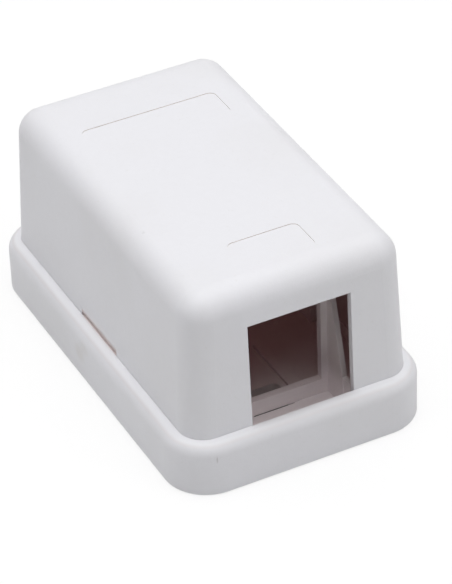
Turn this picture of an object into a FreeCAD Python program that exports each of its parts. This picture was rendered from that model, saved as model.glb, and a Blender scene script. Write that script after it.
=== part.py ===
"""Single-port surface mount jack box, as a parametric FreeCAD document.

A white moulded base carries a keystone bay, two snap tongues and the screw slots.
A drafted, shelled cover drops inside the base's rim and snaps over the tongues.
Two foam strips with release liners sit in the recess under the base.

The origin is at the centre of the footprint, on the plane the liners stand on.
+Z is up, the port faces -Y, and +Y runs along the box.  Millimetres throughout.
"""
import FreeCAD
import Part
import Sketcher

import math
import os

# Driving dimensions: alias, value in millimetres or degrees, meaning.
SIZES = [
    ("base_length", 60.0, "base, outside, along Y"),
    ("base_width", 37.0, "base, outside, along X"),
    ("base_height", 7.8, "base underside to the top of its rim"),
    ("base_corner", 6.25, "plan radius of the base's corners"),
    ("base_edge", 0.3, "rounding of the base's lower outer edge"),
    ("rim_outset", 2.05, "cover's face to the base's outer wall, at the seam"),
    ("rim_round", 1.75, "rounding of the rim's outer shoulder"),
    ("floor_thickness", 1.67, "moulded floor"),
    ("recess_depth", 1.0, "recess under the floor that takes the foam strips"),
    ("recess_margin", 2.05, "base's outer wall to that recess"),
    ("recess_corner", 3.0, "plan radius of that recess"),
    ("cover_height", 21.07, "seam to the top of the cover"),
    ("cover_round", 3.65, "rounding of the cover's corners and top edges"),
    ("cover_wall", 1.0, "wall of the cover's shell"),
    ("draft_angle", 2.15, "draft of the cover's sides, above the seam"),
    ("skirt_depth", 3.2, "how far the cover's skirt reaches inside the rim"),
    ("cover_gap", 0.03, "rim to the cover's skirt, all round"),
    ("ledge_clearance", 0.25, "cover's inner face to the edge of its ledge"),
    ("port_width", 15.0, "port in the front of the cover"),
    ("port_head", 15.47, "seam to the head of the port"),
    ("bay_setback", 7.35, "cover's front face to the bay plate"),
    ("bay_plate", 1.05, "thickness of the bay plate"),
    ("bay_jamb", 0.875, "port's side to the side of the window behind it"),
    ("bay_window_height", 16.3, "window that the jack snaps into, sill to header"),
    ("bay_sill", 2.36, "floor to the top of the sill"),
    ("bay_header", 1.6, "bar above the window"),
    ("bay_clearance", 0.05, "port's side to the cheek beside the jack"),
    ("cheek_thickness", 0.75, "cheeks beside the jack"),
    ("cheek_setback", 3.2, "cover's front face to the front of the cheeks"),
    ("cheek_upright", 3.34, "floor to where a cheek's front starts to lean back"),
    ("cheek_bend_rise", 3.02, "height of the curved part above that"),
    ("cheek_bend_step", 0.4, "how far the curved part leans back"),
    ("cheek_curve", 11.6, "radius of the curved part"),
    ("wing_height", 4.9, "floor to the top of the low wing in front of a cheek"),
    ("wing_offset", 0.1, "cheek's inner face to the wing's"),
    ("relief_width", 6.1, "relief under the sill for the jack's lower hook"),
    ("relief_offset", 0.6, "box's middle plane to that of the relief and the guide ribs"),
    ("relief_lip", 0.15, "how far the relief shows in front of the sill"),
    ("relief_reach", 4.05, "how far it reaches behind the bay plate"),
    ("relief_corner", 0.9, "plan radius of the relief's rear corners"),
    ("guide_gap", 7.75, "between the two low guide ribs"),
    ("guide_width", 1.9, "width of a guide rib"),
    ("guide_height", 0.5, "height of a guide rib"),
    ("guide_length", 11.0, "length of a guide rib"),
    ("guide_setback", 1.8, "bay plate to the guide ribs"),
    ("screw_width", 3.6, "width of a screw slot"),
    ("screw_slot", 6.0, "length of a screw slot"),
    ("screw_front", 22.95, "cover's front face to the front slot's centre"),
    ("screw_rear", 8.95, "cover's rear face to the rear slot's centre"),
    ("cable_width", 13.0, "cable opening in the floor, along X"),
    ("cable_length", 10.0, "the same, along Y"),
    ("cable_corner", 2.0, "plan radius of the cable opening"),
    ("tie_slot", 4.0, "length of a cable tie slot"),
    ("tie_width", 1.6, "width of a cable tie slot"),
    ("tie_pitch", 6.0, "between the two tie slots"),
    ("tie_setback", 3.6, "cover's rear face to the tie slots"),
    ("tongue_length", 12.2, "snap tongues, along Y"),
    ("tongue_thickness", 1.5, "snap tongues"),
    ("barb_height", 1.5, "wedge at the head of a tongue"),
    ("snap_clearance", 0.05, "tongue's wedge to the cover's catch"),
    ("catch_rise", 1.8, "seam to the foot of the catch inside the cover"),
    ("catch_height", 1.3, "height of the catch"),
    ("catch_reach", 0.5, "how far the catch stands out from the wall"),
    ("catch_length", 9.0, "length of the catch"),
    ("pry_length", 10.9, "pry slots in the cover's long sides"),
    ("pry_forward", 0.35, "box's middle to theirs, towards the port"),
    ("pry_height", 1.25, "seam to the head of a pry slot"),
    ("pry_depth", 0.3, "pry slot, into the cover's wall at the seam"),
    ("pry_sink", 0.4, "seam to the floor of a pry slot, inside the rim"),
    ("label_depth", 0.1, "label recesses in the cover's top"),
    ("label_corner", 1.05, "plan radius of the label recesses"),
    ("label_margin", 1.87, "rear label to the flat top's long edges"),
    ("label_rear_length", 6.0, "rear label recess, along Y"),
    ("label_rear_setback", 11.65, "cover's rear face to the rear label"),
    ("label_front_width", 10.4, "front label recess, along X"),
    ("label_front_length", 6.0, "the same, along Y"),
    ("label_front_setback", 4.95, "cover's front face to the front label"),
    ("breakout_width", 12.0, "breakout in the cover's rear wall"),
    ("breakout_height", 8.0, "seam to the head of the breakout"),
    ("breakout_line", 0.5, "width of the score that outlines it"),
    ("breakout_depth", 0.45, "depth of that score"),
    ("rib_thickness", 0.9, "hold-down ribs under the cover's roof"),
    ("rib_clearance", 0.3, "hold-down ribs to the bay's header"),
    ("rib_length", 7.0, "length of a hold-down rib"),
    ("strip_length", 46.0, "foam strips, along Y"),
    ("strip_thickness", 1.0, "foam strips"),
    ("strip_corner", 0.8, "plan radius of the strips"),
    ("strip_inset", 1.6, "foam strips to the recess's long sides"),
    ("strip_clearance", 0.85, "foam strips to the cable opening, along X"),
    ("liner_thickness", 0.12, "release liner on each strip"),
]

# Heights above the plane the liners stand on.
UNDERSIDE = "(sizes.strip_thickness + sizes.liner_thickness - sizes.recess_depth)"
CEILING = f"({UNDERSIDE} + sizes.recess_depth)"
FLOOR = f"({CEILING} + sizes.floor_thickness)"
SEAM = f"({UNDERSIDE} + sizes.base_height)"
LEDGE = f"({SEAM} - sizes.skirt_depth)"
TOP = f"({SEAM} + sizes.cover_height)"
INNER_TOP = f"({TOP} - sizes.cover_wall)"
SILL = f"({FLOOR} + sizes.bay_sill)"
WINDOW_HEAD = f"({SILL} + sizes.bay_window_height)"
HEADER = f"({WINDOW_HEAD} + sizes.bay_header)"
CATCH_TOP = f"({SEAM} + sizes.catch_rise + sizes.catch_height)"

# The cover's outline at the seam, outside and inside its walls.
SLOPE = "tan(sizes.draft_angle * 1 deg)"
COVER_WIDTH = "(sizes.base_width - 2 * sizes.rim_outset)"
COVER_LENGTH = "(sizes.base_length - 2 * sizes.rim_outset)"
SHRINK = f"(2 * sizes.cover_height * {SLOPE})"
INNER_WIDTH = f"({COVER_WIDTH} - 2 * sizes.cover_wall)"
INNER_LENGTH = f"({COVER_LENGTH} - 2 * sizes.cover_wall)"
FRONT = f"(-{COVER_LENGTH} / 2)"
REAR = f"({COVER_LENGTH} / 2)"

# The keystone bay.
PLATE_FACE = f"({FRONT} + sizes.bay_setback)"
PLATE_BACK = f"({PLATE_FACE} + sizes.bay_plate)"
CHEEK_INNER = "(sizes.port_width / 2 + sizes.bay_clearance)"
CHEEK_OUTER = f"({CHEEK_INNER} + sizes.cheek_thickness)"
CHEEK_FACE = f"({FRONT} + sizes.cheek_setback)"
TRAY_FRONT = f"(-{INNER_LENGTH} / 2 + sizes.ledge_clearance)"

# The snap: the cover's catch, and the tongue's wedge that stands clear of it.
CATCH_TIP = (f"({INNER_WIDTH} / 2 - (sizes.catch_rise + sizes.catch_height) * {SLOPE}"
             " - sizes.catch_reach)")
BARB_TIP = f"({CATCH_TIP} - sizes.snap_clearance)"
TONGUE_INNER = f"({BARB_TIP} - sizes.catch_reach - sizes.tongue_thickness)"

# The recess under the floor and its strips.
RECESS_WIDTH = "(sizes.base_width - 2 * sizes.recess_margin)"
RECESS_LENGTH = "(sizes.base_length - 2 * sizes.recess_margin)"
STRIP_OUTER = f"({RECESS_WIDTH} / 2 - sizes.strip_inset)"
STRIP_INNER = "(sizes.cable_width / 2 + sizes.strip_clearance)"

SCREW_FRONT = f"({FRONT} + sizes.screw_front)"
SCREW_REAR = f"({REAR} - sizes.screw_rear)"

UP = FreeCAD.Vector(0, 0, 1)


def make_sheet(document):
    """The spreadsheet that holds every driving dimension under its alias."""
    sheet = document.addObject("Spreadsheet::Sheet", "sizes")
    for row, (alias, value, meaning) in enumerate(SIZES, 1):
        sheet.set(f"A{row}", meaning)
        sheet.set(f"B{row}", str(value))
        sheet.setAlias(f"B{row}", alias)
    document.recompute()
    return sheet


def make_body(document, name):
    body = document.addObject("PartDesign::Body", name)
    body.Label = name
    body.Placement = FreeCAD.Placement()
    document.recompute()
    return body


def origin_plane(body, role):
    return next(item for item in body.Origin.OriginFeatures if item.Role == role)


def bind(target, properties):
    """Tie each property of an object to an expression on the sheet."""
    for name, expression in properties.items():
        target.setExpression(name, expression)


def make_sketch(body, name, plane, along="0", across="0", lift="0", tilt=None):
    """A sketch on an origin plane, its own origin moved within and off the plane."""
    sketch = body.newObject("Sketcher::SketchObject", name)
    sketch.AttachmentSupport = [(origin_plane(body, plane), "")]
    sketch.MapMode = "FlatFace"
    if tilt:
        start = FreeCAD.Rotation(FreeCAD.Vector(1, 0, 0), sketch.evalExpression(tilt))
        sketch.AttachmentOffset = FreeCAD.Placement(FreeCAD.Vector(), start)
        sketch.setExpression("AttachmentOffset.Rotation.Angle", tilt)
    bind(sketch, {
        "AttachmentOffset.Base.x": along,
        "AttachmentOffset.Base.y": across,
        "AttachmentOffset.Base.z": lift,
    })
    return sketch


def constrain(sketch, name, expression, kind, *places):
    """Add a named dimension that follows an expression."""
    value = float(sketch.evalExpression(expression))
    constraint = Sketcher.Constraint(kind, *places, value)
    constraint.Name = name
    sketch.addConstraint(constraint)
    sketch.setExpression(f"Constraints.{name}", expression)


def draw_rounded(sketch, width, length, radius, tag="outer"):
    """A rounded rectangle centred on the sketch's origin, fully constrained."""
    r = float(sketch.evalExpression(radius))
    x = float(sketch.evalExpression(width)) / 2 - r
    y = float(sketch.evalExpression(length)) / 2 - r
    corners = [(x, y), (-x, y), (-x, -y), (x, -y)]
    arcs = []
    for quarter, (cx, cy) in enumerate(corners):
        circle = Part.Circle(FreeCAD.Vector(cx, cy, 0), UP, r)
        start = quarter * math.pi / 2
        arcs.append(sketch.addGeometry(Part.ArcOfCircle(circle, start, start + math.pi / 2)))
    sides = []
    for arc, following in zip(arcs, arcs[1:] + arcs[:1]):
        begin = sketch.getPoint(arc, 2)
        end = sketch.getPoint(following, 1)
        sides.append(sketch.addGeometry(Part.LineSegment(begin, end)))
    for arc, side, following in zip(arcs, sides, arcs[1:] + arcs[:1]):
        sketch.addConstraint(Sketcher.Constraint("Tangent", arc, 2, side, 1))
        sketch.addConstraint(Sketcher.Constraint("Tangent", side, 2, following, 1))
    sketch.addConstraint(Sketcher.Constraint("Horizontal", sides[0]))
    sketch.addConstraint(Sketcher.Constraint("Vertical", sides[1]))
    for arc in arcs[1:]:
        sketch.addConstraint(Sketcher.Constraint("Equal", arcs[0], arc))
    sketch.addConstraint(Sketcher.Constraint("Symmetric", arcs[0], 3, arcs[2], 3, -1, 1))
    constrain(sketch, f"{tag}_radius", radius, "Radius", arcs[0])
    constrain(sketch, f"{tag}_width", f"{width} - 2 * {radius}", "DistanceX", arcs[1], 3, arcs[0], 3)
    constrain(sketch, f"{tag}_length", f"{length} - 2 * {radius}", "DistanceY", arcs[3], 3, arcs[0], 3)


def draw_rectangle(sketch, width, length):
    """A sharp-cornered rectangle centred on the sketch's origin."""
    draw_outline(sketch, [
        (f"-{width} / 2", f"-{length} / 2"),
        (f"{width} / 2", f"-{length} / 2"),
        (f"{width} / 2", f"{length} / 2"),
        (f"-{width} / 2", f"{length} / 2"),
    ])


def draw_slot(sketch, width, length):
    """A round-ended slot along the sketch's y axis, centred on its origin."""
    r = float(sketch.evalExpression(width)) / 2
    y = float(sketch.evalExpression(length)) / 2 - r
    head = Part.Circle(FreeCAD.Vector(0, y, 0), UP, r)
    foot = Part.Circle(FreeCAD.Vector(0, -y, 0), UP, r)
    upper = sketch.addGeometry(Part.ArcOfCircle(head, 0, math.pi))
    lower = sketch.addGeometry(Part.ArcOfCircle(foot, math.pi, 2 * math.pi))
    left = sketch.addGeometry(Part.LineSegment(FreeCAD.Vector(-r, y, 0), FreeCAD.Vector(-r, -y, 0)))
    right = sketch.addGeometry(Part.LineSegment(FreeCAD.Vector(r, -y, 0), FreeCAD.Vector(r, y, 0)))
    for one, two in ((upper, left), (left, lower), (lower, right), (right, upper)):
        sketch.addConstraint(Sketcher.Constraint("Tangent", one, 2, two, 1))
    sketch.addConstraint(Sketcher.Constraint("Equal", upper, lower))
    sketch.addConstraint(Sketcher.Constraint("Symmetric", upper, 3, lower, 3, -1, 1))
    sketch.addConstraint(Sketcher.Constraint("Vertical", left))
    constrain(sketch, "end_radius", f"{width} / 2", "Radius", upper)
    constrain(sketch, "centres", f"{length} - {width}", "DistanceY", lower, 3, upper, 3)


def draw_outline(sketch, points, tag="outline", curves=None):
    """A closed outline of straight sides; curves gives the radius of an arc side."""
    curves = curves or {}
    spots = []
    for across, up in points:
        x = float(sketch.evalExpression(across))
        y = float(sketch.evalExpression(up))
        spots.append(FreeCAD.Vector(x, y, 0))
    sides = []
    for index, begin in enumerate(spots):
        end = spots[(index + 1) % len(spots)]
        if index in curves:
            side = arc_between(begin, end, float(sketch.evalExpression(curves[index])))
        else:
            side = Part.LineSegment(begin, end)
        sides.append(sketch.addGeometry(side))
    ends = [(side, 1, 2) for side in sides]
    for index, radius in curves.items():
        ends[index] = (sides[index], 2, 1)
    for one, two in zip(ends, ends[1:] + ends[:1]):
        sketch.addConstraint(Sketcher.Constraint("Coincident", one[0], one[2], two[0], two[1]))
    for index, (across, up) in enumerate(points):
        side, first, _ = ends[index]
        constrain(sketch, f"{tag}_{index}_x", across, "DistanceX", -1, 1, side, first)
        constrain(sketch, f"{tag}_{index}_y", up, "DistanceY", -1, 1, side, first)
    for index, radius in curves.items():
        constrain(sketch, f"{tag}_{index}_radius", radius, "Radius", sides[index])


def arc_between(begin, end, radius):
    """The short clockwise arc from one point to another, centred on its right."""
    chord = end - begin
    middle = (begin + end) / 2
    rise = math.sqrt(radius ** 2 - (chord.Length / 2) ** 2)
    side = FreeCAD.Vector(chord.y, -chord.x, 0) / chord.Length
    centre = middle + side * rise
    first = math.atan2(end.y - centre.y, end.x - centre.x)
    last = math.atan2(begin.y - centre.y, begin.x - centre.x)
    return Part.ArcOfCircle(Part.Circle(centre, UP, radius), first, last)


def pad(body, sketch, name, length, centred=False, backwards=False):
    feature = body.newObject("PartDesign::Pad", name)
    feature.Profile = sketch
    feature.Midplane = centred
    feature.Reversed = backwards
    feature.setExpression("Length", length)
    return finish(feature)


def pocket(body, sketch, name, depth, centred=False, backwards=False):
    feature = body.newObject("PartDesign::Pocket", name)
    feature.Profile = sketch
    feature.Midplane = centred
    feature.Reversed = backwards
    feature.setExpression("Length", depth)
    return finish(feature)


def mirror(body, original, name):
    """The same feature on the other side of the box's middle plane."""
    feature = body.newObject("PartDesign::Mirrored", name)
    feature.Originals = [original]
    feature.MirrorPlane = (origin_plane(body, "YZ_Plane"), [""])
    body.Tip = feature
    return finish(feature)


def fillet(body, name, radius, chosen):
    """Round the edges of the body's present shape that the test picks."""
    base = body.Tip
    edges = [f"Edge{number}" for number, edge in enumerate(base.Shape.Edges, 1) if chosen(edge)]
    feature = body.newObject("PartDesign::Fillet", name)
    feature.Base = (base, edges)
    feature.setExpression("Radius", radius)
    return finish(feature)


def draft(body, name, chosen, backwards=False):
    """Tilt the picked faces about the lowest face of the body's present shape."""
    base = body.Tip
    heights = [face.CenterOfMass.z for face in base.Shape.Faces]
    lowest = heights.index(min(heights)) + 1
    faces = [f"Face{number}" for number, face in enumerate(base.Shape.Faces, 1) if chosen(face)]
    feature = body.newObject("PartDesign::Draft", name)
    feature.Base = (base, faces)
    feature.NeutralPlane = (base, [f"Face{lowest}"])
    feature.Reversed = backwards
    feature.setExpression("Angle", "sizes.draft_angle")
    return finish(feature)


def finish(feature):
    feature.Document.recompute()
    return feature


def spans(item, low, high):
    box = item.BoundBox
    return max(abs(box.ZMin - low), abs(box.ZMax - high)) < 0.001


def lies_at(body, height):
    """A test for edges or faces that lie flat at one height."""
    level = float(body.evalExpression(height))
    return lambda item: spans(item, level, level)


def upright_faces(body, height):
    """A test for the wall faces that rise from the seam to one height."""
    foot = float(body.evalExpression(SEAM))
    head = float(body.evalExpression(height))
    return lambda face: spans(face, foot, head)


def shell_edges(body, height):
    """A test for the corner edges that rise to one height, and the edges at that height."""
    level = lies_at(body, height)
    upright = upright_faces(body, height)
    return lambda edge: level(edge) or upright(edge)


def make_base(document):
    body = make_body(document, "base")

    block = make_sketch(body, "block_outline", "XY_Plane", lift=UNDERSIDE)
    draw_rounded(block, "sizes.base_width", "sizes.base_length", "sizes.base_corner")
    pad(body, block, "block", "sizes.base_height")
    fillet(body, "rim_shoulder", "sizes.rim_round", lies_at(body, SEAM))
    fillet(body, "lower_edge", "sizes.base_edge", lies_at(body, UNDERSIDE))

    hollow_base(body)
    add_bay(body)
    add_floor_details(body)
    add_tongues(body)
    return body


def hollow_base(body):
    """The seat for the cover inside the rim, the tray below it, and the underside."""
    seat = make_sketch(body, "seat_outline", "XY_Plane", lift=SEAM)
    margin = "2 * sizes.cover_gap"
    corner = "(sizes.cover_round + sizes.cover_gap)"
    draw_rounded(seat, f"({COVER_WIDTH} + {margin})", f"({COVER_LENGTH} + {margin})", corner)
    pocket(body, seat, "cover_seat", "sizes.skirt_depth")

    tray = make_sketch(body, "tray_outline", "XY_Plane", lift=LEDGE)
    margin = "2 * sizes.ledge_clearance"
    corner = "(sizes.cover_round - sizes.cover_wall - sizes.ledge_clearance)"
    draw_rounded(tray, f"({INNER_WIDTH} - {margin})", f"({INNER_LENGTH} - {margin})", corner)
    pocket(body, tray, "tray", f"{LEDGE} - {FLOOR}")

    recess = make_sketch(body, "recess_outline", "XY_Plane", lift=CEILING)
    draw_rounded(recess, RECESS_WIDTH, RECESS_LENGTH, "sizes.recess_corner")
    pocket(body, recess, "underside_recess", "sizes.recess_depth")


def add_bay(body):
    """The keystone bay: relief, plate with its window, and the cheeks with their wings."""
    cut_relief(body)

    plate = make_sketch(body, "plate_outline", "XZ_Plane", lift=f"-{PLATE_FACE}")
    draw_outline(plate, [
        (f"-{CHEEK_OUTER}", FLOOR),
        (CHEEK_OUTER, FLOOR),
        (CHEEK_OUTER, HEADER),
        (f"-{CHEEK_OUTER}", HEADER),
    ], "plate")
    jamb = "(sizes.port_width / 2 - sizes.bay_jamb)"
    draw_outline(plate, [
        (f"-{jamb}", SILL),
        (jamb, SILL),
        (jamb, WINDOW_HEAD),
        (f"-{jamb}", WINDOW_HEAD),
    ], "window")
    pad(body, plate, "bay_plate", "sizes.bay_plate", backwards=True)

    upright = f"({FLOOR} + sizes.cheek_upright)"
    cheek = make_sketch(body, "cheek_outline", "YZ_Plane", lift=CHEEK_INNER)
    draw_outline(cheek, [
        (CHEEK_FACE, FLOOR),
        (CHEEK_FACE, upright),
        (f"({CHEEK_FACE} + sizes.cheek_bend_step)", f"({upright} + sizes.cheek_bend_rise)"),
        (PLATE_FACE, HEADER),
        (PLATE_FACE, FLOOR),
    ], "cheek", curves={1: "sizes.cheek_curve"})
    right = pad(body, cheek, "cheek", "sizes.cheek_thickness")
    mirror(body, right, "cheek_pair")

    wing_top = f"({FLOOR} + sizes.wing_height)"
    wing_rear = f"({CHEEK_FACE} + sizes.cheek_bend_step)"
    wing = make_sketch(body, "wing_outline", "YZ_Plane", lift=f"{CHEEK_INNER} + sizes.wing_offset")
    draw_outline(wing, [
        (TRAY_FRONT, FLOOR),
        (wing_rear, FLOOR),
        (wing_rear, wing_top),
        (TRAY_FRONT, wing_top),
    ], "wing")
    right = pad(body, wing, "wing", "sizes.cheek_thickness - sizes.wing_offset")
    mirror(body, right, "wings")


def cut_relief(body):
    """The opening under the sill for the jack's lower hook, square in front, rounded behind."""
    front = f"({PLATE_FACE} - sizes.relief_lip)"
    rear = f"({PLATE_BACK} + sizes.relief_reach)"
    left = "(-sizes.relief_width / 2 - sizes.relief_offset)"
    right = "(sizes.relief_width / 2 - sizes.relief_offset)"
    relief = make_sketch(body, "relief_outline", "XY_Plane", lift=FLOOR)
    draw_outline(relief, [
        (left, front),
        (left, f"({rear} - sizes.relief_corner)"),
        (f"({left} + sizes.relief_corner)", rear),
        (f"({right} - sizes.relief_corner)", rear),
        (right, f"({rear} - sizes.relief_corner)"),
        (right, front),
    ], "relief", curves={1: "sizes.relief_corner", 3: "sizes.relief_corner"})
    pocket(body, relief, "hook_relief", "sizes.floor_thickness")


def add_floor_details(body):
    """Guide ribs, screw slots, the cable opening and the cable tie slots."""
    start = f"({PLATE_BACK} + sizes.guide_setback)"
    reach = "(sizes.guide_gap + sizes.guide_width) / 2"
    for word, place in (("left", f"-{reach}"), ("right", reach)):
        guide = make_sketch(body, f"guide_{word}_outline", "XY_Plane",
                            along=f"{place} - sizes.relief_offset",
                            across=f"{start} + sizes.guide_length / 2", lift=FLOOR)
        draw_rounded(guide, "sizes.guide_width", "sizes.guide_length", "(sizes.guide_width / 4)")
        pad(body, guide, f"guide_{word}", "sizes.guide_height")

    for name, place in (("screw_slot_front", SCREW_FRONT), ("screw_slot_rear", SCREW_REAR)):
        slot = make_sketch(body, f"{name}_outline", "XY_Plane", across=place, lift=FLOOR)
        draw_slot(slot, "sizes.screw_width", "sizes.screw_slot")
        pocket(body, slot, name, "sizes.floor_thickness")

    cable = make_sketch(body, "cable_outline", "XY_Plane",
                        across=f"({SCREW_FRONT} + {SCREW_REAR}) / 2", lift=FLOOR)
    draw_rounded(cable, "sizes.cable_width", "sizes.cable_length", "sizes.cable_corner")
    pocket(body, cable, "cable_opening", "sizes.floor_thickness")

    tie = make_sketch(body, "tie_outline", "XY_Plane",
                      along="sizes.tie_pitch / 2",
                      across=f"{REAR} - sizes.tie_setback", lift=FLOOR)
    draw_slot(tie, "sizes.tie_width", "sizes.tie_slot")
    right = pocket(body, tie, "tie_slot", "sizes.floor_thickness")
    mirror(body, right, "tie_slots")


def add_tongues(body):
    """The two snap tongues, each with a wedge that hooks over the cover's catch."""
    head = f"({CATCH_TOP} + sizes.snap_clearance)"
    outer = f"({TONGUE_INNER} + sizes.tongue_thickness)"
    tongue = make_sketch(body, "tongue_outline", "XZ_Plane")
    draw_outline(tongue, [
        (TONGUE_INNER, FLOOR),
        (outer, FLOOR),
        (outer, head),
        (BARB_TIP, head),
        (BARB_TIP, f"{head} + sizes.barb_height / 4"),
        (f"{outer} - sizes.tongue_thickness / 3", f"{head} + sizes.barb_height"),
        (TONGUE_INNER, f"{head} + sizes.barb_height"),
    ], "tongue")
    right = pad(body, tongue, "tongue", "sizes.tongue_length", centred=True)
    mirror(body, right, "tongues")


def make_cover(document):
    body = make_body(document, "cover")

    block = make_sketch(body, "block_outline", "XY_Plane", lift=SEAM)
    draw_rectangle(block, COVER_WIDTH, COVER_LENGTH)
    pad(body, block, "block", "sizes.cover_height")
    draft(body, "outer_draft", upright_faces(body, TOP))
    hollow = make_sketch(body, "hollow_outline", "XY_Plane", lift=SEAM)
    draw_rectangle(hollow, INNER_WIDTH, INNER_LENGTH)
    pocket(body, hollow, "hollow", f"{INNER_TOP} - {SEAM}", backwards=True)
    draft(body, "inner_draft", upright_faces(body, INNER_TOP), backwards=True)

    inner_round = "sizes.cover_round - sizes.cover_wall"
    fillet(body, "inner_rounding", inner_round, shell_edges(body, INNER_TOP))
    fillet(body, "outer_rounding", "sizes.cover_round", shell_edges(body, TOP))
    add_skirt(body)

    cut_port(body)
    cut_pry_slots(body)
    cut_labels(body)
    score_breakout(body)
    add_catches(body)
    add_hold_downs(body)
    return body


def add_skirt(body):
    """The walls' foot, carried straight down inside the rim."""
    shell = body.Tip
    foot = lies_at(body, SEAM)
    faces = [f"Face{number}" for number, face in enumerate(shell.Shape.Faces, 1) if foot(face)]
    skirt = body.newObject("PartDesign::Pad", "skirt")
    skirt.Profile = (shell, faces)
    skirt.setExpression("Length", "sizes.skirt_depth")
    return finish(skirt)


def cut_port(body):
    """The port in the front wall, open at the cover's foot."""
    port = make_sketch(body, "port_outline", "XZ_Plane", lift=f"-({FRONT} - sizes.rim_outset)")
    side = "(sizes.port_width / 2)"
    draw_outline(port, [
        (f"-{side}", f"{LEDGE} - sizes.cover_wall"),
        (side, f"{LEDGE} - sizes.cover_wall"),
        (side, f"{SEAM} + sizes.port_head"),
        (f"-{side}", f"{SEAM} + sizes.port_head"),
    ], "port")
    pocket(body, port, "port", "sizes.rim_outset + sizes.cover_wall + sizes.cheek_setback")


def cut_pry_slots(body):
    """A scoop at the seam in each long side, for prising the cover off.

    The wall rolls under towards the seam, tangent to its own face at the scoop's head.
    """
    scoop = make_sketch(body, "pry_outline", "XZ_Plane", lift="sizes.pry_forward")
    skin = f"({COVER_WIDTH} / 2 - sizes.pry_height * {SLOPE})"
    back = f"({COVER_WIDTH} / 2 - sizes.pry_depth)"
    beyond = "(sizes.base_width / 2)"
    draw_outline(scoop, [
        (skin, f"{SEAM} + sizes.pry_height"),
        (back, SEAM),
        (back, f"{SEAM} - sizes.pry_sink"),
        (beyond, f"{SEAM} - sizes.pry_sink"),
        (beyond, f"{SEAM} + sizes.pry_height"),
    ], "pry", curves={0: "(sizes.pry_height ^ 2 + sizes.pry_depth ^ 2) / (2 * sizes.pry_depth)"})
    right = pocket(body, scoop, "pry_slot", "sizes.pry_length", centred=True)
    mirror(body, right, "pry_slots")


def cut_labels(body):
    """The two shallow label recesses in the roof."""
    flat_width = f"({COVER_WIDTH} - {SHRINK} - 2 * sizes.cover_round)"
    rear = make_sketch(body, "rear_label_outline", "XY_Plane", lift=TOP,
                       across=f"{REAR} - sizes.label_rear_setback - sizes.label_rear_length / 2")
    draw_rounded(rear, f"({flat_width} - 2 * sizes.label_margin)", "sizes.label_rear_length",
                 "sizes.label_corner")
    pocket(body, rear, "rear_label", "sizes.label_depth")

    front = make_sketch(body, "front_label_outline", "XY_Plane", lift=TOP,
                        across=f"{FRONT} + sizes.label_front_setback + sizes.label_front_length / 2")
    draw_rounded(front, "sizes.label_front_width", "sizes.label_front_length",
                 "sizes.label_corner")
    pocket(body, front, "front_label", "sizes.label_depth")


def score_breakout(body):
    """A scored line on the rear wall that outlines the cable breakout."""
    score = make_sketch(body, "breakout_outline", "XZ_Plane", across=SEAM, lift=f"-{REAR}",
                        tilt="sizes.draft_angle")
    side = "(sizes.breakout_width / 2)"
    inner = "(sizes.breakout_width / 2 - sizes.breakout_line)"
    head = "sizes.breakout_height"
    inner_head = "(sizes.breakout_height - sizes.breakout_line)"
    draw_outline(score, [
        (f"-{side}", "-sizes.skirt_depth"),
        (f"-{inner}", "-sizes.skirt_depth"),
        (f"-{inner}", inner_head),
        (inner, inner_head),
        (inner, "-sizes.skirt_depth"),
        (side, "-sizes.skirt_depth"),
        (side, head),
        (f"-{side}", head),
    ], "score")
    pocket(body, score, "breakout_score", "sizes.breakout_depth", backwards=True)


def add_catches(body):
    """A wedge-shaped catch inside each long wall, above the pry slot."""
    foot = f"({SEAM} + sizes.catch_rise)"
    root = f"({CATCH_TIP} + sizes.catch_reach + sizes.cover_wall / 2)"
    catch = make_sketch(body, "catch_outline", "XZ_Plane")
    draw_outline(catch, [
        (CATCH_TIP, f"{foot} + sizes.catch_height / 2"),
        (root, f"{foot} - sizes.catch_height / 4"),
        (root, CATCH_TOP),
        (CATCH_TIP, CATCH_TOP),
    ], "catch")
    right = pad(body, catch, "catch", "sizes.catch_length", centred=True)
    mirror(body, right, "catches")


def add_hold_downs(body):
    """Two ribs under the roof that keep the bay's header from lifting."""
    rib = make_sketch(body, "rib_outline", "XY_Plane",
                      along=f"{CHEEK_OUTER} - sizes.rib_thickness / 2",
                      across=f"{PLATE_FACE} + sizes.bay_plate / 2",
                      lift=f"{HEADER} + sizes.rib_clearance")
    draw_rounded(rib, "sizes.rib_thickness", "sizes.rib_length", "(sizes.rib_thickness / 4)")
    roof = f"({TOP} - sizes.cover_wall / 2)"
    right = pad(body, rib, "hold_down", f"{roof} - {HEADER} - sizes.rib_clearance")
    mirror(body, right, "hold_downs")


def make_strip(document, name, side, bottom, thickness):
    """One foam strip or liner: a rounded rectangle on the left or right of the recess."""
    body = make_body(document, name)
    outline = make_sketch(body, f"{name}_outline", "XY_Plane",
                          along=f"{side} * ({STRIP_OUTER} + {STRIP_INNER}) / 2", lift=bottom)
    draw_rounded(outline, f"({STRIP_OUTER} - {STRIP_INNER})", "sizes.strip_length",
                 "sizes.strip_corner")
    pad(body, outline, f"{name}_pad", thickness)
    return body


def make_strips(document):
    pieces = []
    for side, word in ((-1, "left"), (1, "right")):
        pieces.append(make_strip(document, f"foam_strip_{word}", side,
                                 "sizes.liner_thickness", "sizes.strip_thickness"))
        pieces.append(make_strip(document, f"release_liner_{word}", side,
                                 "0", "sizes.liner_thickness"))
    return pieces


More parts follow.
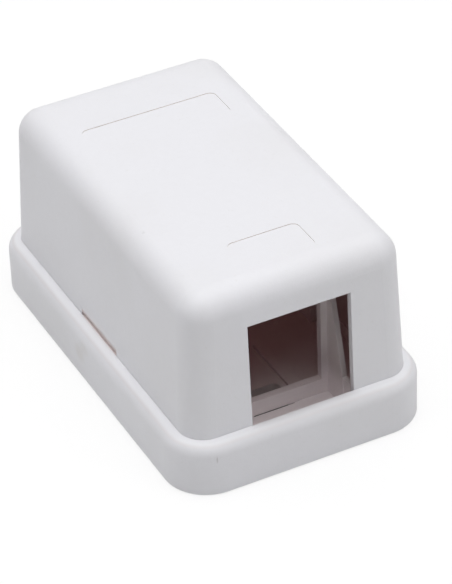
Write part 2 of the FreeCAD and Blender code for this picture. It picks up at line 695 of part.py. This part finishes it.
def check(document, pieces):
    """Stop if any object failed, a cut removed nothing, or a piece isn't one sound solid."""
    for item in document.Objects:
        bad = {"Invalid", "Error"} & set(item.State)
        if bad:
            raise RuntimeError(f"{item.Name} failed: {item.State}")
        if item.TypeId == "PartDesign::Pocket":
            if item.Shape.Volume >= item.BaseFeature.Shape.Volume - 0.001:
                raise RuntimeError(f"{item.Name} cuts nothing")
    for piece in pieces:
        shape = piece.Shape
        if shape.isNull() or not shape.isValid() or len(shape.Solids) != 1:
            raise RuntimeError(f"{piece.Label} isn't one sound solid")


def export(pieces):
    os.makedirs("parts", exist_ok=True)
    for piece in pieces:
        piece.Shape.exportStep(os.path.join("parts", f"{piece.Label}.step"))


def main():
    document = FreeCAD.newDocument("surface_mount_jack_box")
    make_sheet(document)
    pieces = [make_base(document), make_cover(document)]
    pieces += make_strips(document)
    document.recompute()
    check(document, pieces)
    export(pieces)
    for piece in pieces:
        print(piece.Label, "volume", round(piece.Shape.Volume, 2), "mm3")


main()
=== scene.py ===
import math
import random

import bmesh
import bpy
from mathutils import Matrix, Vector


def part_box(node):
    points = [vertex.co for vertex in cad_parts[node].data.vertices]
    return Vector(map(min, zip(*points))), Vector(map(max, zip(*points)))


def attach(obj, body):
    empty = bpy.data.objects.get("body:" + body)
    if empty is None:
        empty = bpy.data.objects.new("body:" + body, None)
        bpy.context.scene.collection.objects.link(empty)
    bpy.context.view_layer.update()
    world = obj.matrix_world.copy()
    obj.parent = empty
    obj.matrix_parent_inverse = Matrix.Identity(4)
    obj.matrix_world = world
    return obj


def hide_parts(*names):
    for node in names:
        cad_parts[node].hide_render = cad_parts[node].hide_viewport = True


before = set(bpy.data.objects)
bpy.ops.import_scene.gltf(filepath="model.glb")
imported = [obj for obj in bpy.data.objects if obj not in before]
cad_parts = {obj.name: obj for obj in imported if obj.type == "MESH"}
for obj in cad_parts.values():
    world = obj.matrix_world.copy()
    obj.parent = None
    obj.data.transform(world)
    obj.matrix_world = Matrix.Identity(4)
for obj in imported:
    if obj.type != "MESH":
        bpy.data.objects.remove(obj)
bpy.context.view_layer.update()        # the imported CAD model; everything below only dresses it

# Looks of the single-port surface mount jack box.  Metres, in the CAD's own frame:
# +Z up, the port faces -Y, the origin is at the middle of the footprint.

MM = 0.001
scene = bpy.context.scene
base_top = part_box("base")[1]
cover_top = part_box("cover")[1]


# ---------------------------------------------------------------- node helpers

class Nodes:
    """Short calls that add nodes to a tree and wire them."""

    def __init__(self, tree):
        self.tree = tree
        self.tree.nodes.clear()

    def add(self, kind, inputs=None, **settings):
        node = self.tree.nodes.new(kind)
        for key, value in settings.items():
            setattr(node, key, value)
        for key, value in (inputs or {}).items():
            self.set(node.inputs[key], value)
        return node

    def set(self, socket, value):
        if isinstance(value, bpy.types.NodeSocket):
            self.tree.links.new(value, socket)
        else:
            socket.default_value = value

    def math(self, operation, *values):
        node = self.add("ShaderNodeMath", operation=operation)
        for socket, value in zip(node.inputs, values):
            self.set(socket, value)
        return node.outputs[0]

    def all_of(self, first, *rest):
        """Masks multiplied: 1 where every one is."""
        for mask in rest:
            first = self.math("MULTIPLY", first, mask)
        return first

    def any_of(self, first, *rest):
        """The highest of several masks."""
        for mask in rest:
            first = self.math("MAXIMUM", first, mask)
        return first

    def plain_rays(self):
        """1 for the rays that show the white background: seen, reflected or let through."""
        paths = self.add("ShaderNodeLightPath").outputs
        return self.any_of(paths["Is Camera Ray"], paths["Is Glossy Ray"],
                           paths["Is Transmission Ray"])


class Shader(Nodes):
    """A material under construction."""

    def __init__(self, name):
        self.material = bpy.data.materials.new(name)
        self.material.use_nodes = True
        super().__init__(self.material.node_tree)
        self.output = self.add("ShaderNodeOutputMaterial")
        self.place = self.add("ShaderNodeTexCoord").outputs["Object"]
        split = self.add("ShaderNodeSeparateXYZ", {"Vector": self.place})
        self.x, self.y, self.z = split.outputs

    def finish(self, surface):
        self.tree.links.new(surface.outputs[0], self.output.inputs["Surface"])
        return self.material

    def noise(self, size, detail=2.0, roughness=0.5):
        """Noise from 0 to 1 whose blobs are about `size` metres across."""
        node = self.add("ShaderNodeTexNoise", {
            "Vector": self.place, "Scale": 1.0 / size,
            "Detail": detail, "Roughness": roughness})
        return node.outputs["Fac"]

    def remap(self, value, low, high, out_low=0.0, out_high=1.0):
        """From `out_low` at `low` to `out_high` at `high`, smoothly."""
        node = self.add("ShaderNodeMapRange", {
            "Value": value, "From Min": low, "From Max": high,
            "To Min": out_low, "To Max": out_high},
            interpolation_type="SMOOTHSTEP")
        return node.outputs["Result"]

    def fall(self, value, low, high):
        """From 1 at `low` to 0 at `high`, smoothly."""
        return self.remap(value, low, high, 1.0, 0.0)

    def mix(self, share, first, second):
        """Two colours, or two colour sockets, mixed by a share."""
        node = self.add("ShaderNodeMix", data_type="RGBA")
        for socket, value in zip((node.inputs["Factor"], node.inputs[6], node.inputs[7]),
                                 (share, first, second)):
            self.set(socket, (*value, 1.0) if isinstance(value, tuple) else value)
        return node.outputs[2]

    def spot(self, middle, half, share):
        """Up to `share`, fading to 0 at `half` from `middle`, both in millimetres."""
        off = self.add("ShaderNodeVectorMath", {
            0: self.place, 1: tuple(value * MM for value in middle)}, operation="SUBTRACT")
        near = self.add("ShaderNodeVectorMath", {
            0: off.outputs[0], 1: tuple(1 / (value * MM) for value in half)},
            operation="MULTIPLY")
        length = self.add("ShaderNodeVectorMath", {0: near.outputs[0]}, operation="LENGTH")
        return self.remap(length.outputs["Value"], 0.2, 1.0, share, 0.0)

    def bump(self, height, distance, strength=1.0, after=None):
        inputs = {"Height": height, "Distance": distance, "Strength": strength}
        if after:
            inputs["Normal"] = after
        return self.add("ShaderNodeBump", inputs).outputs["Normal"]

    def under_skin(self, half_x, half_y, corner, lean=0.0, foot=0.0, top=None):
        """How far a point lies under the skin of a rounded block, in metres.  Its sides lean
        in above `foot`; with no `top` it has no upper end."""
        above = self.math("MAXIMUM", self.math("SUBTRACT", self.z, foot), 0.0)
        shift = self.math("MULTIPLY", above, lean)
        beyond = [
            self.math("SUBTRACT", self.math("ADD", self.math("ABSOLUTE", along), shift),
                      half - corner)
            for along, half in ((self.x, half_x), (self.y, half_y))]
        if top is not None:
            beyond.append(self.math("SUBTRACT", self.z, top - corner))
        total = 0.0
        for part in beyond:
            square = self.math("POWER", self.math("MAXIMUM", part, 0.0), 2.0)
            total = self.math("ADD", square, total)
        return self.math("SUBTRACT", corner, self.math("SQRT", total))


# --------------------------------------------------------------------- colours

OUTSIDE = (0.835, 0.833, 0.868)       # cool white of the mouldings' outer faces,
OUTSIDE_WARM = (0.815, 0.811, 0.838)  # clouded with this,
MOTTLE = (0.74, 0.73, 0.76)           # with a faint mottle
SPECK = (0.74, 0.73, 0.72)            # and specks

# The same plastic elsewhere, with light and shade painted in.  These are tints set by region to
# match the brightness in the photo, not other materials: a painted highlight on the crown of the
# rim, painted light at the foot of the front chamber, and painted shade on the other inner
# faces, in the pry slots and on the label recess walls.
RIM_CROWN_HIGHLIGHT = (0.905, 0.905, 0.935)     # the crown of the rim
BASE_FRONT_LIGHT = (0.92, 0.86, 0.87)       # the foot of the front chamber
BASE_INSIDE_SHADE = (0.75, 0.69, 0.685)     # the rest of the base's inner faces
COVER_INSIDE_SHADE = (0.62, 0.53, 0.52)     # the cover's inner faces
PRY_SHADE = (0.835, 0.75, 0.735)      # the pry slots
LABEL_WALL_SHADE = (0.63, 0.55, 0.49)       # the walls of the label recesses

SMUDGE = (0.66, 0.62, 0.58)
SCRATCH = (0.45, 0.43, 0.43)
DOT = (0.50, 0.50, 0.52)

FOAM_PORE = (0.62, 0.61, 0.58)
FOAM_SKIN = (0.86, 0.855, 0.83)
KRAFT_DARK = (0.70, 0.60, 0.43)
KRAFT_LIGHT = (0.80, 0.72, 0.55)
KRAFT_CLOUD = (0.66, 0.56, 0.40)

FLOOR_PAPER = (0.80, 0.80, 0.80, 1)   # the floor as the light meets it,
FLOOR_SEEN = (0.22, 0.22, 0.22, 1)    # and as the camera does,
FLOOR_GLOW = 0.80                     # with this glow away from the object

# Marks of handling, as in the photo: middle and half size in mm, share, colour.
BASE_MARKS = (
    ((-13.7, -29.9, 5.9), (0.16, 1.5, 0.75), 0.45, SCRATCH),
    ((-18.4, 2.0, 4.1), (2.2, 2.2, 1.9), 0.30, SMUDGE),
    ((-18.2, 0.4, 5.7), (2.2, 2.0, 1.4), 0.22, SMUDGE),
)
COVER_MARKS = (
    ((-13.0, -9.2, 29.0), (0.35, 0.35, 0.8), 0.22, DOT),
)

# --------------------------------------------------- where the colours change

SEAM = 7.92 * MM                      # where the cover meets the rim; its draft starts here
FOOTPRINT_CORNER = 6.25 * MM
COVER_ROUND = 3.65 * MM               # the cover's corners and its upper edge
COVER_LEAN = 0.0375                   # the draft of its walls above the seam
PRY_MIDDLE = -0.35 * MM               # the pry slots: middle and half length along Y,
PRY_HALF = 5.45 * MM
PRY_HEAD = SEAM + 1.25 * MM           # and the height of their heads

# Each pair is where a change of colour starts and where it is complete: depths under the
# skin, heights, or places along Y.
# where the cover's painted shade goes:
INNER_DEPTH = (0.80 * MM, 0.98 * MM)  # the cover's inner faces
PRY_DEPTH = (0.015 * MM, 0.05 * MM)
PRY_END = (PRY_HALF - 0.05 * MM, PRY_HALF + 0.05 * MM)
PRY_TOP = (PRY_HEAD, PRY_HEAD + 0.1 * MM)
LABEL_DEPTH = (0.008 * MM, 0.020 * MM)
LABEL_FLOOR = (0.080 * MM, 0.095 * MM)
LABEL_HEIGHT = (cover_top.z - 0.20 * MM, cover_top.z - 0.15 * MM)
# where the base's painted light and shade and the rim's painted highlight go:
SEAT_DEPTH = (-0.15 * MM, 0.25 * MM)  # the base's inner faces, within the cover's outline
TRAY_HEIGHT = (1.3 * MM, 1.6 * MM)    # and above this
CROWN_HEIGHT = (SEAM - 0.6 * MM, SEAM - 0.1 * MM)
CHAMBER_END = (-20.2 * MM, -18.0 * MM)    # the front chamber's foot: in front of this,
CHAMBER_HEIGHT = (5.5 * MM, 9.0 * MM)     # and below this
FLOOR_CLEAR = (0.0, 1.25 * MM)        # the floor's glow fades under the object


# ------------------------------------------------------------------- materials

CLOUD = 22 * MM                       # sizes in the plastic's skin: slow clouds,
SPECK_SIZE = 0.45 * MM
MOTTLE_SIZE = 0.9 * MM
GRAIN, GRAIN_RELIEF = 0.22 * MM, 0.013 * MM   # the mould's texture,
FLOW, FLOW_RELIEF = 6 * MM, 0.05 * MM         # and its gentle waves
FOAM_CELL, FOAM_RELIEF = 0.35 * MM, 0.06 * MM
FIBRE, FIBRE_RELIEF = 0.5 * MM, 0.02 * MM
PAPER_CLOUD = 9 * MM


def inside_cover(s):
    """The mask and the painted shade of what isn't skin: the pry slots, the walls of the label
    recesses, and the inner faces."""
    under = s.under_skin(cover_top.x, cover_top.y, COVER_ROUND,
                         lean=COVER_LEAN, foot=SEAM, top=cover_top.z)
    inner = s.remap(under, *INNER_DEPTH)
    along = s.math("ABSOLUTE", s.math("SUBTRACT", s.y, PRY_MIDDLE))
    slot = s.all_of(s.remap(under, *PRY_DEPTH), s.fall(along, *PRY_END),
                    s.fall(s.z, *PRY_TOP))
    edge = s.all_of(s.remap(under, *LABEL_DEPTH), s.fall(under, *LABEL_FLOOR),
                    s.remap(s.z, *LABEL_HEIGHT))
    # painted shade: the pry slots, the walls of the label recesses and the inner faces are made
    # darker and warmer, where shade falls
    shade = s.mix(edge, PRY_SHADE, LABEL_WALL_SHADE)
    return s.any_of(inner, slot, edge), s.mix(inner, shade, COVER_INSIDE_SHADE)


def inside_base(s):
    """The mask and the painted light and shade of what isn't skin: painted shade on the inner
    faces, which lie above the tray's underside and within the cover's outline, painted light at
    the foot of the front chamber, and a painted highlight on the crown of the rim."""
    under = s.under_skin(cover_top.x, cover_top.y, COVER_ROUND)
    across = s.remap(under, *SEAT_DEPTH)
    tray = s.all_of(across, s.remap(s.z, *TRAY_HEIGHT))
    # painted light and shade: the foot of the front chamber is made paler, where light comes in
    # through the port, and the rest of the base's inner faces darker and warmer, where shade
    # falls
    away = s.any_of(s.remap(s.y, *CHAMBER_END), s.remap(s.z, *CHAMBER_HEIGHT))
    # painted highlight: the crown of the rim is made lighter, where the light falls on it
    crown = s.all_of(s.remap(s.z, *CROWN_HEIGHT), s.math("SUBTRACT", 1.0, across))
    inner = s.mix(away, BASE_FRONT_LIGHT, BASE_INSIDE_SHADE)
    return s.any_of(tray, crown), s.mix(crown, inner, RIM_CROWN_HIGHLIGHT)


def moulded_plastic(name, inside, marks):
    """Fine-textured white ABS.  `inside` builds the mask and the painted light and shade of what
    isn't skin;
    `marks` are small patches of another colour."""
    s = Shader(name)
    cloud = s.noise(CLOUD, detail=3.0)
    speck = s.noise(SPECK_SIZE, detail=1.0)
    mottle = s.noise(MOTTLE_SIZE, detail=2.0)
    skin = s.mix(s.remap(cloud, 0.35, 0.65), OUTSIDE, OUTSIDE_WARM)
    skin = s.mix(s.remap(speck, 0.70, 0.80, 0.0, 0.25), skin, SPECK)
    skin = s.mix(s.remap(mottle, 0.35, 0.65, 0.0, 0.06), skin, MOTTLE)
    # the painted light and shade go over the skin's own colour
    mask, inner = inside(s)
    colour = s.mix(mask, skin, inner)
    for middle, half, share, tint in marks:
        colour = s.mix(s.spot(middle, half, share), colour, tint)

    grain = s.noise(GRAIN, detail=2.0, roughness=0.6)
    flow = s.noise(FLOW, detail=1.0)
    normal = s.bump(grain, GRAIN_RELIEF, 0.9)
    normal = s.bump(flow, FLOW_RELIEF, 0.35, after=normal)
    rough = s.math("MULTIPLY_ADD", grain, 0.16, s.remap(cloud, 0.3, 0.7, 0.36, 0.44))
    return s.finish(s.add("ShaderNodeBsdfPrincipled", {
        "Base Color": colour, "Roughness": rough, "Normal": normal, "IOR": 1.5}))


def foam_tape():
    """Closed-cell foam."""
    s = Shader("foam")
    cells = s.add("ShaderNodeTexVoronoi", {"Vector": s.place, "Scale": 1 / FOAM_CELL})
    pores = s.remap(cells.outputs["Distance"], 0.0, 0.5)
    colour = s.mix(pores, FOAM_PORE, FOAM_SKIN)
    return s.finish(s.add("ShaderNodeBsdfPrincipled", {
        "Base Color": colour, "Roughness": 0.9, "Normal": s.bump(pores, FOAM_RELIEF, 0.8)}))


def liner_paper():
    """Siliconed kraft paper."""
    s = Shader("liner_paper")
    fibre = s.noise(FIBRE, detail=5.0, roughness=0.65)
    cloud = s.noise(PAPER_CLOUD, detail=2.0)
    colour = s.mix(s.remap(fibre, 0.3, 0.7), KRAFT_DARK, KRAFT_LIGHT)
    colour = s.mix(s.remap(cloud, 0.35, 0.65, 0.0, 0.3), colour, KRAFT_CLOUD)
    return s.finish(s.add("ShaderNodeBsdfPrincipled", {
        "Base Color": colour, "Roughness": 0.45, "Normal": s.bump(fibre, FIBRE_RELIEF, 0.6)}))


# ---------------------------------------------------------------- the mouldings

SOFT_EDGE = 0.12 * MM
SAME_POINT = 0.0001 * MM
SHARP_ANGLE = 0.6                     # radians


def dress(node, material):
    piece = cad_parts[node]
    piece.data.materials.clear()
    piece.data.materials.append(material)


def soften(node):
    """Break the moulding's sharp edges, as the mould does."""
    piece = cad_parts[node]
    weld = piece.modifiers.new("weld", "WELD")
    weld.merge_threshold = SAME_POINT
    edge = piece.modifiers.new("edge", "BEVEL")
    edge.width = SOFT_EDGE
    edge.segments = 2
    edge.limit_method = "ANGLE"
    edge.angle_limit = SHARP_ANGLE
    edge.harden_normals = True


# --------------------------------------------------------------- the foam strips

FOAM_CORNER = 0.8 * MM
FOAM_STEP = 0.35 * MM                 # between the points of the cut edge
BENDS = 4                             # steps round a corner
# The cut edge, from its underside up: share of the height, pull-in and deepest pit in mm.
FOAM_EDGE = (
    (0.0, 0.30, 0.0), (0.0, 0.03, 0.02), (0.06, 0.0, 0.04), (0.22, 0.05, 0.10),
    (0.40, 0.09, 0.12), (0.60, 0.09, 0.12), (0.78, 0.05, 0.10), (0.94, 0.0, 0.04),
    (1.0, 0.03, 0.02), (1.0, 0.30, 0.0))


def rounded_outline(half_x, half_y, corner, step):
    """Points round a rounded rectangle, each with its outward direction."""
    centres = ((half_x - corner, half_y - corner), (corner - half_x, half_y - corner),
               (corner - half_x, corner - half_y), (half_x - corner, corner - half_y))
    bends = []
    for quarter, (x, y) in enumerate(centres):
        for part in range(BENDS + 1):
            turn = math.radians(90 * quarter + 90 / BENDS * part)
            out = Vector((math.cos(turn), math.sin(turn), 0))
            bends.append((Vector((x, y, 0)) + out * corner, out))
    points = []
    for (here, out), (there, out_there) in zip(bends, bends[1:] + bends[:1]):
        count = max(1, round((there - here).length / step))
        for number in range(count):
            points.append((here.lerp(there, number / count),
                           out.lerp(out_there, number / count).normalized()))
    return points


def make_foam(side, seed):
    """A strip of foam tape.  Its two faces are flat against the base and the liner; its cut
    edge pulls in at mid height and is pitted by opened cells."""
    low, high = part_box(f"foam_strip_{side}")
    half = (high - low) / 2
    middle = (low + high) / 2
    outline = rounded_outline(half.x, half.y, FOAM_CORNER, FOAM_STEP)
    pits = random.Random(seed)
    form = bmesh.new()
    rings = []
    for height, pull, pit in FOAM_EDGE:
        ring = []
        for place, out in outline:
            inward = pull + pits.random() ** 2 * pit
            point = middle + place - out * inward * MM
            point.z = low.z + (high.z - low.z) * height
            ring.append(form.verts.new(point))
        rings.append(ring)
    for lower, upper in zip(rings, rings[1:]):
        for number in range(len(outline)):
            form.faces.new((lower[number - 1], lower[number], upper[number], upper[number - 1]))
    form.faces.new(reversed(rings[0]))
    form.faces.new(rings[-1])
    mesh = bpy.data.meshes.new(f"foam_{side}")
    form.to_mesh(mesh)
    form.free()
    for face in mesh.polygons:
        face.use_smooth = len(face.vertices) == 4
    strip = bpy.data.objects.new(f"foam_{side}", mesh)
    scene.collection.objects.link(strip)
    mesh.materials.append(foam_tape())
    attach(strip, "base")
    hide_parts(f"foam_strip_{side}")


# ------------------------------------------------------- floor, lamps and camera

FLOOR_HALF = 3.0
AIM = Vector((0, 0, 0.014))           # about the middle of the object

# Studio lamps: name, place, size, power and, where it isn't white, colour.
LAMPS = (
    ("overhead", (0.0, 0.0, 0.80), (0.35, 0.35), 0.73),
    ("canopy", (0.0, 0.0, 0.90), (1.6, 1.6), 12.0),
    ("left", (-0.8, 0.0, 0.30), (0.6, 0.6), 0.35),
    ("front_right", (0.65, -0.65, 0.35), (0.6, 0.6), 1.35),
    ("high_left", (-0.7, 0.0, 0.80), (0.6, 0.6), 0.65),
    # Stands in for the little daylight that comes through the thin white roof.
    ("through_roof", (0, 0, 0.0272), (0.022, 0.042), 0.00020, (1.0, 0.32, 0.31)),
)

# The photo's camera.
CAMERA_AT = (-0.15365, -0.32263, 0.26943)
CAMERA_FORWARD = Vector((0.35281, 0.72669, -0.58945))
CAMERA_UP = Vector((0.29324, 0.51235, 0.80716))
SENSOR_WIDTH, LENS = 36.0, 199.8      # millimetres


def make_floor():
    """The floor: pale paper to the light, and white to the camera away from the object."""
    mesh = bpy.data.meshes.new("floor")
    corners = [(x * FLOOR_HALF, y * FLOOR_HALF, 0)
               for x, y in ((-1, -1), (1, -1), (1, 1), (-1, 1))]
    mesh.from_pydata(corners, [], [(0, 1, 2, 3)])
    floor = bpy.data.objects.new("floor", mesh)
    scene.collection.objects.link(floor)
    s = Shader("floor")
    paper = s.add("ShaderNodeBsdfDiffuse", {"Color": FLOOR_PAPER})
    dim = s.add("ShaderNodeBsdfDiffuse", {"Color": FLOOR_SEEN})
    under = s.under_skin(base_top.x, base_top.y, FOOTPRINT_CORNER)
    clear = s.remap(under, *FLOOR_CLEAR, FLOOR_GLOW, 0.0)
    glow = s.add("ShaderNodeEmission", {"Color": (1, 1, 1, 1), "Strength": clear})
    seen = s.add("ShaderNodeAddShader", {0: dim.outputs[0], 1: glow.outputs[0]})
    mesh.materials.append(s.finish(s.add("ShaderNodeMixShader", {
        "Fac": s.plain_rays(), 1: paper.outputs[0], 2: seen.outputs[0]})))


def make_world():
    """White behind the object; it lights nothing."""
    scene.world = bpy.data.worlds.new("studio")
    scene.world.use_nodes = True
    nodes = Nodes(scene.world.node_tree)
    light = nodes.add("ShaderNodeBackground", {
        "Color": (1, 1, 1, 1), "Strength": nodes.plain_rays()})
    nodes.add("ShaderNodeOutputWorld", {"Surface": light.outputs[0]})


def make_lamp(name, place, size, power, colour=(1, 1, 1)):
    """A rectangular lamp that faces the middle of the object."""
    data = bpy.data.lights.new(name, "AREA")
    data.shape = "RECTANGLE"
    data.size, data.size_y = size
    data.energy = power
    data.color = colour
    lamp = bpy.data.objects.new(name, data)
    scene.collection.objects.link(lamp)
    lamp.location = place
    lamp.rotation_mode = "QUATERNION"
    lamp.rotation_quaternion = (AIM - Vector(place)).to_track_quat("-Z", "Y")
    lamp.visible_camera = False


def make_camera():
    data = bpy.data.cameras.new("camera")
    data.sensor_width = SENSOR_WIDTH
    data.lens = LENS
    data.clip_start = 0.01
    data.clip_end = 10.0
    camera = bpy.data.objects.new("camera", data)
    scene.collection.objects.link(camera)
    forward = CAMERA_FORWARD.normalized()
    up = CAMERA_UP.normalized()
    turn = Matrix((forward.cross(up), up, -forward)).transposed()
    camera.matrix_world = Matrix.Translation(CAMERA_AT) @ turn.to_4x4()
    scene.camera = camera


# ---------------------------------------------------------------- put together

dress("base", moulded_plastic("base_plastic", inside_base, BASE_MARKS))
dress("cover", moulded_plastic("cover_plastic", inside_cover, COVER_MARKS))
soften("base")
soften("cover")
for seed, side in enumerate(("left", "right")):
    make_foam(side, seed)
    dress(f"release_liner_{side}", liner_paper())

make_floor()
make_world()
for lamp in LAMPS:
    make_lamp(*lamp)
make_camera()
scene.view_settings.view_transform = "Standard"
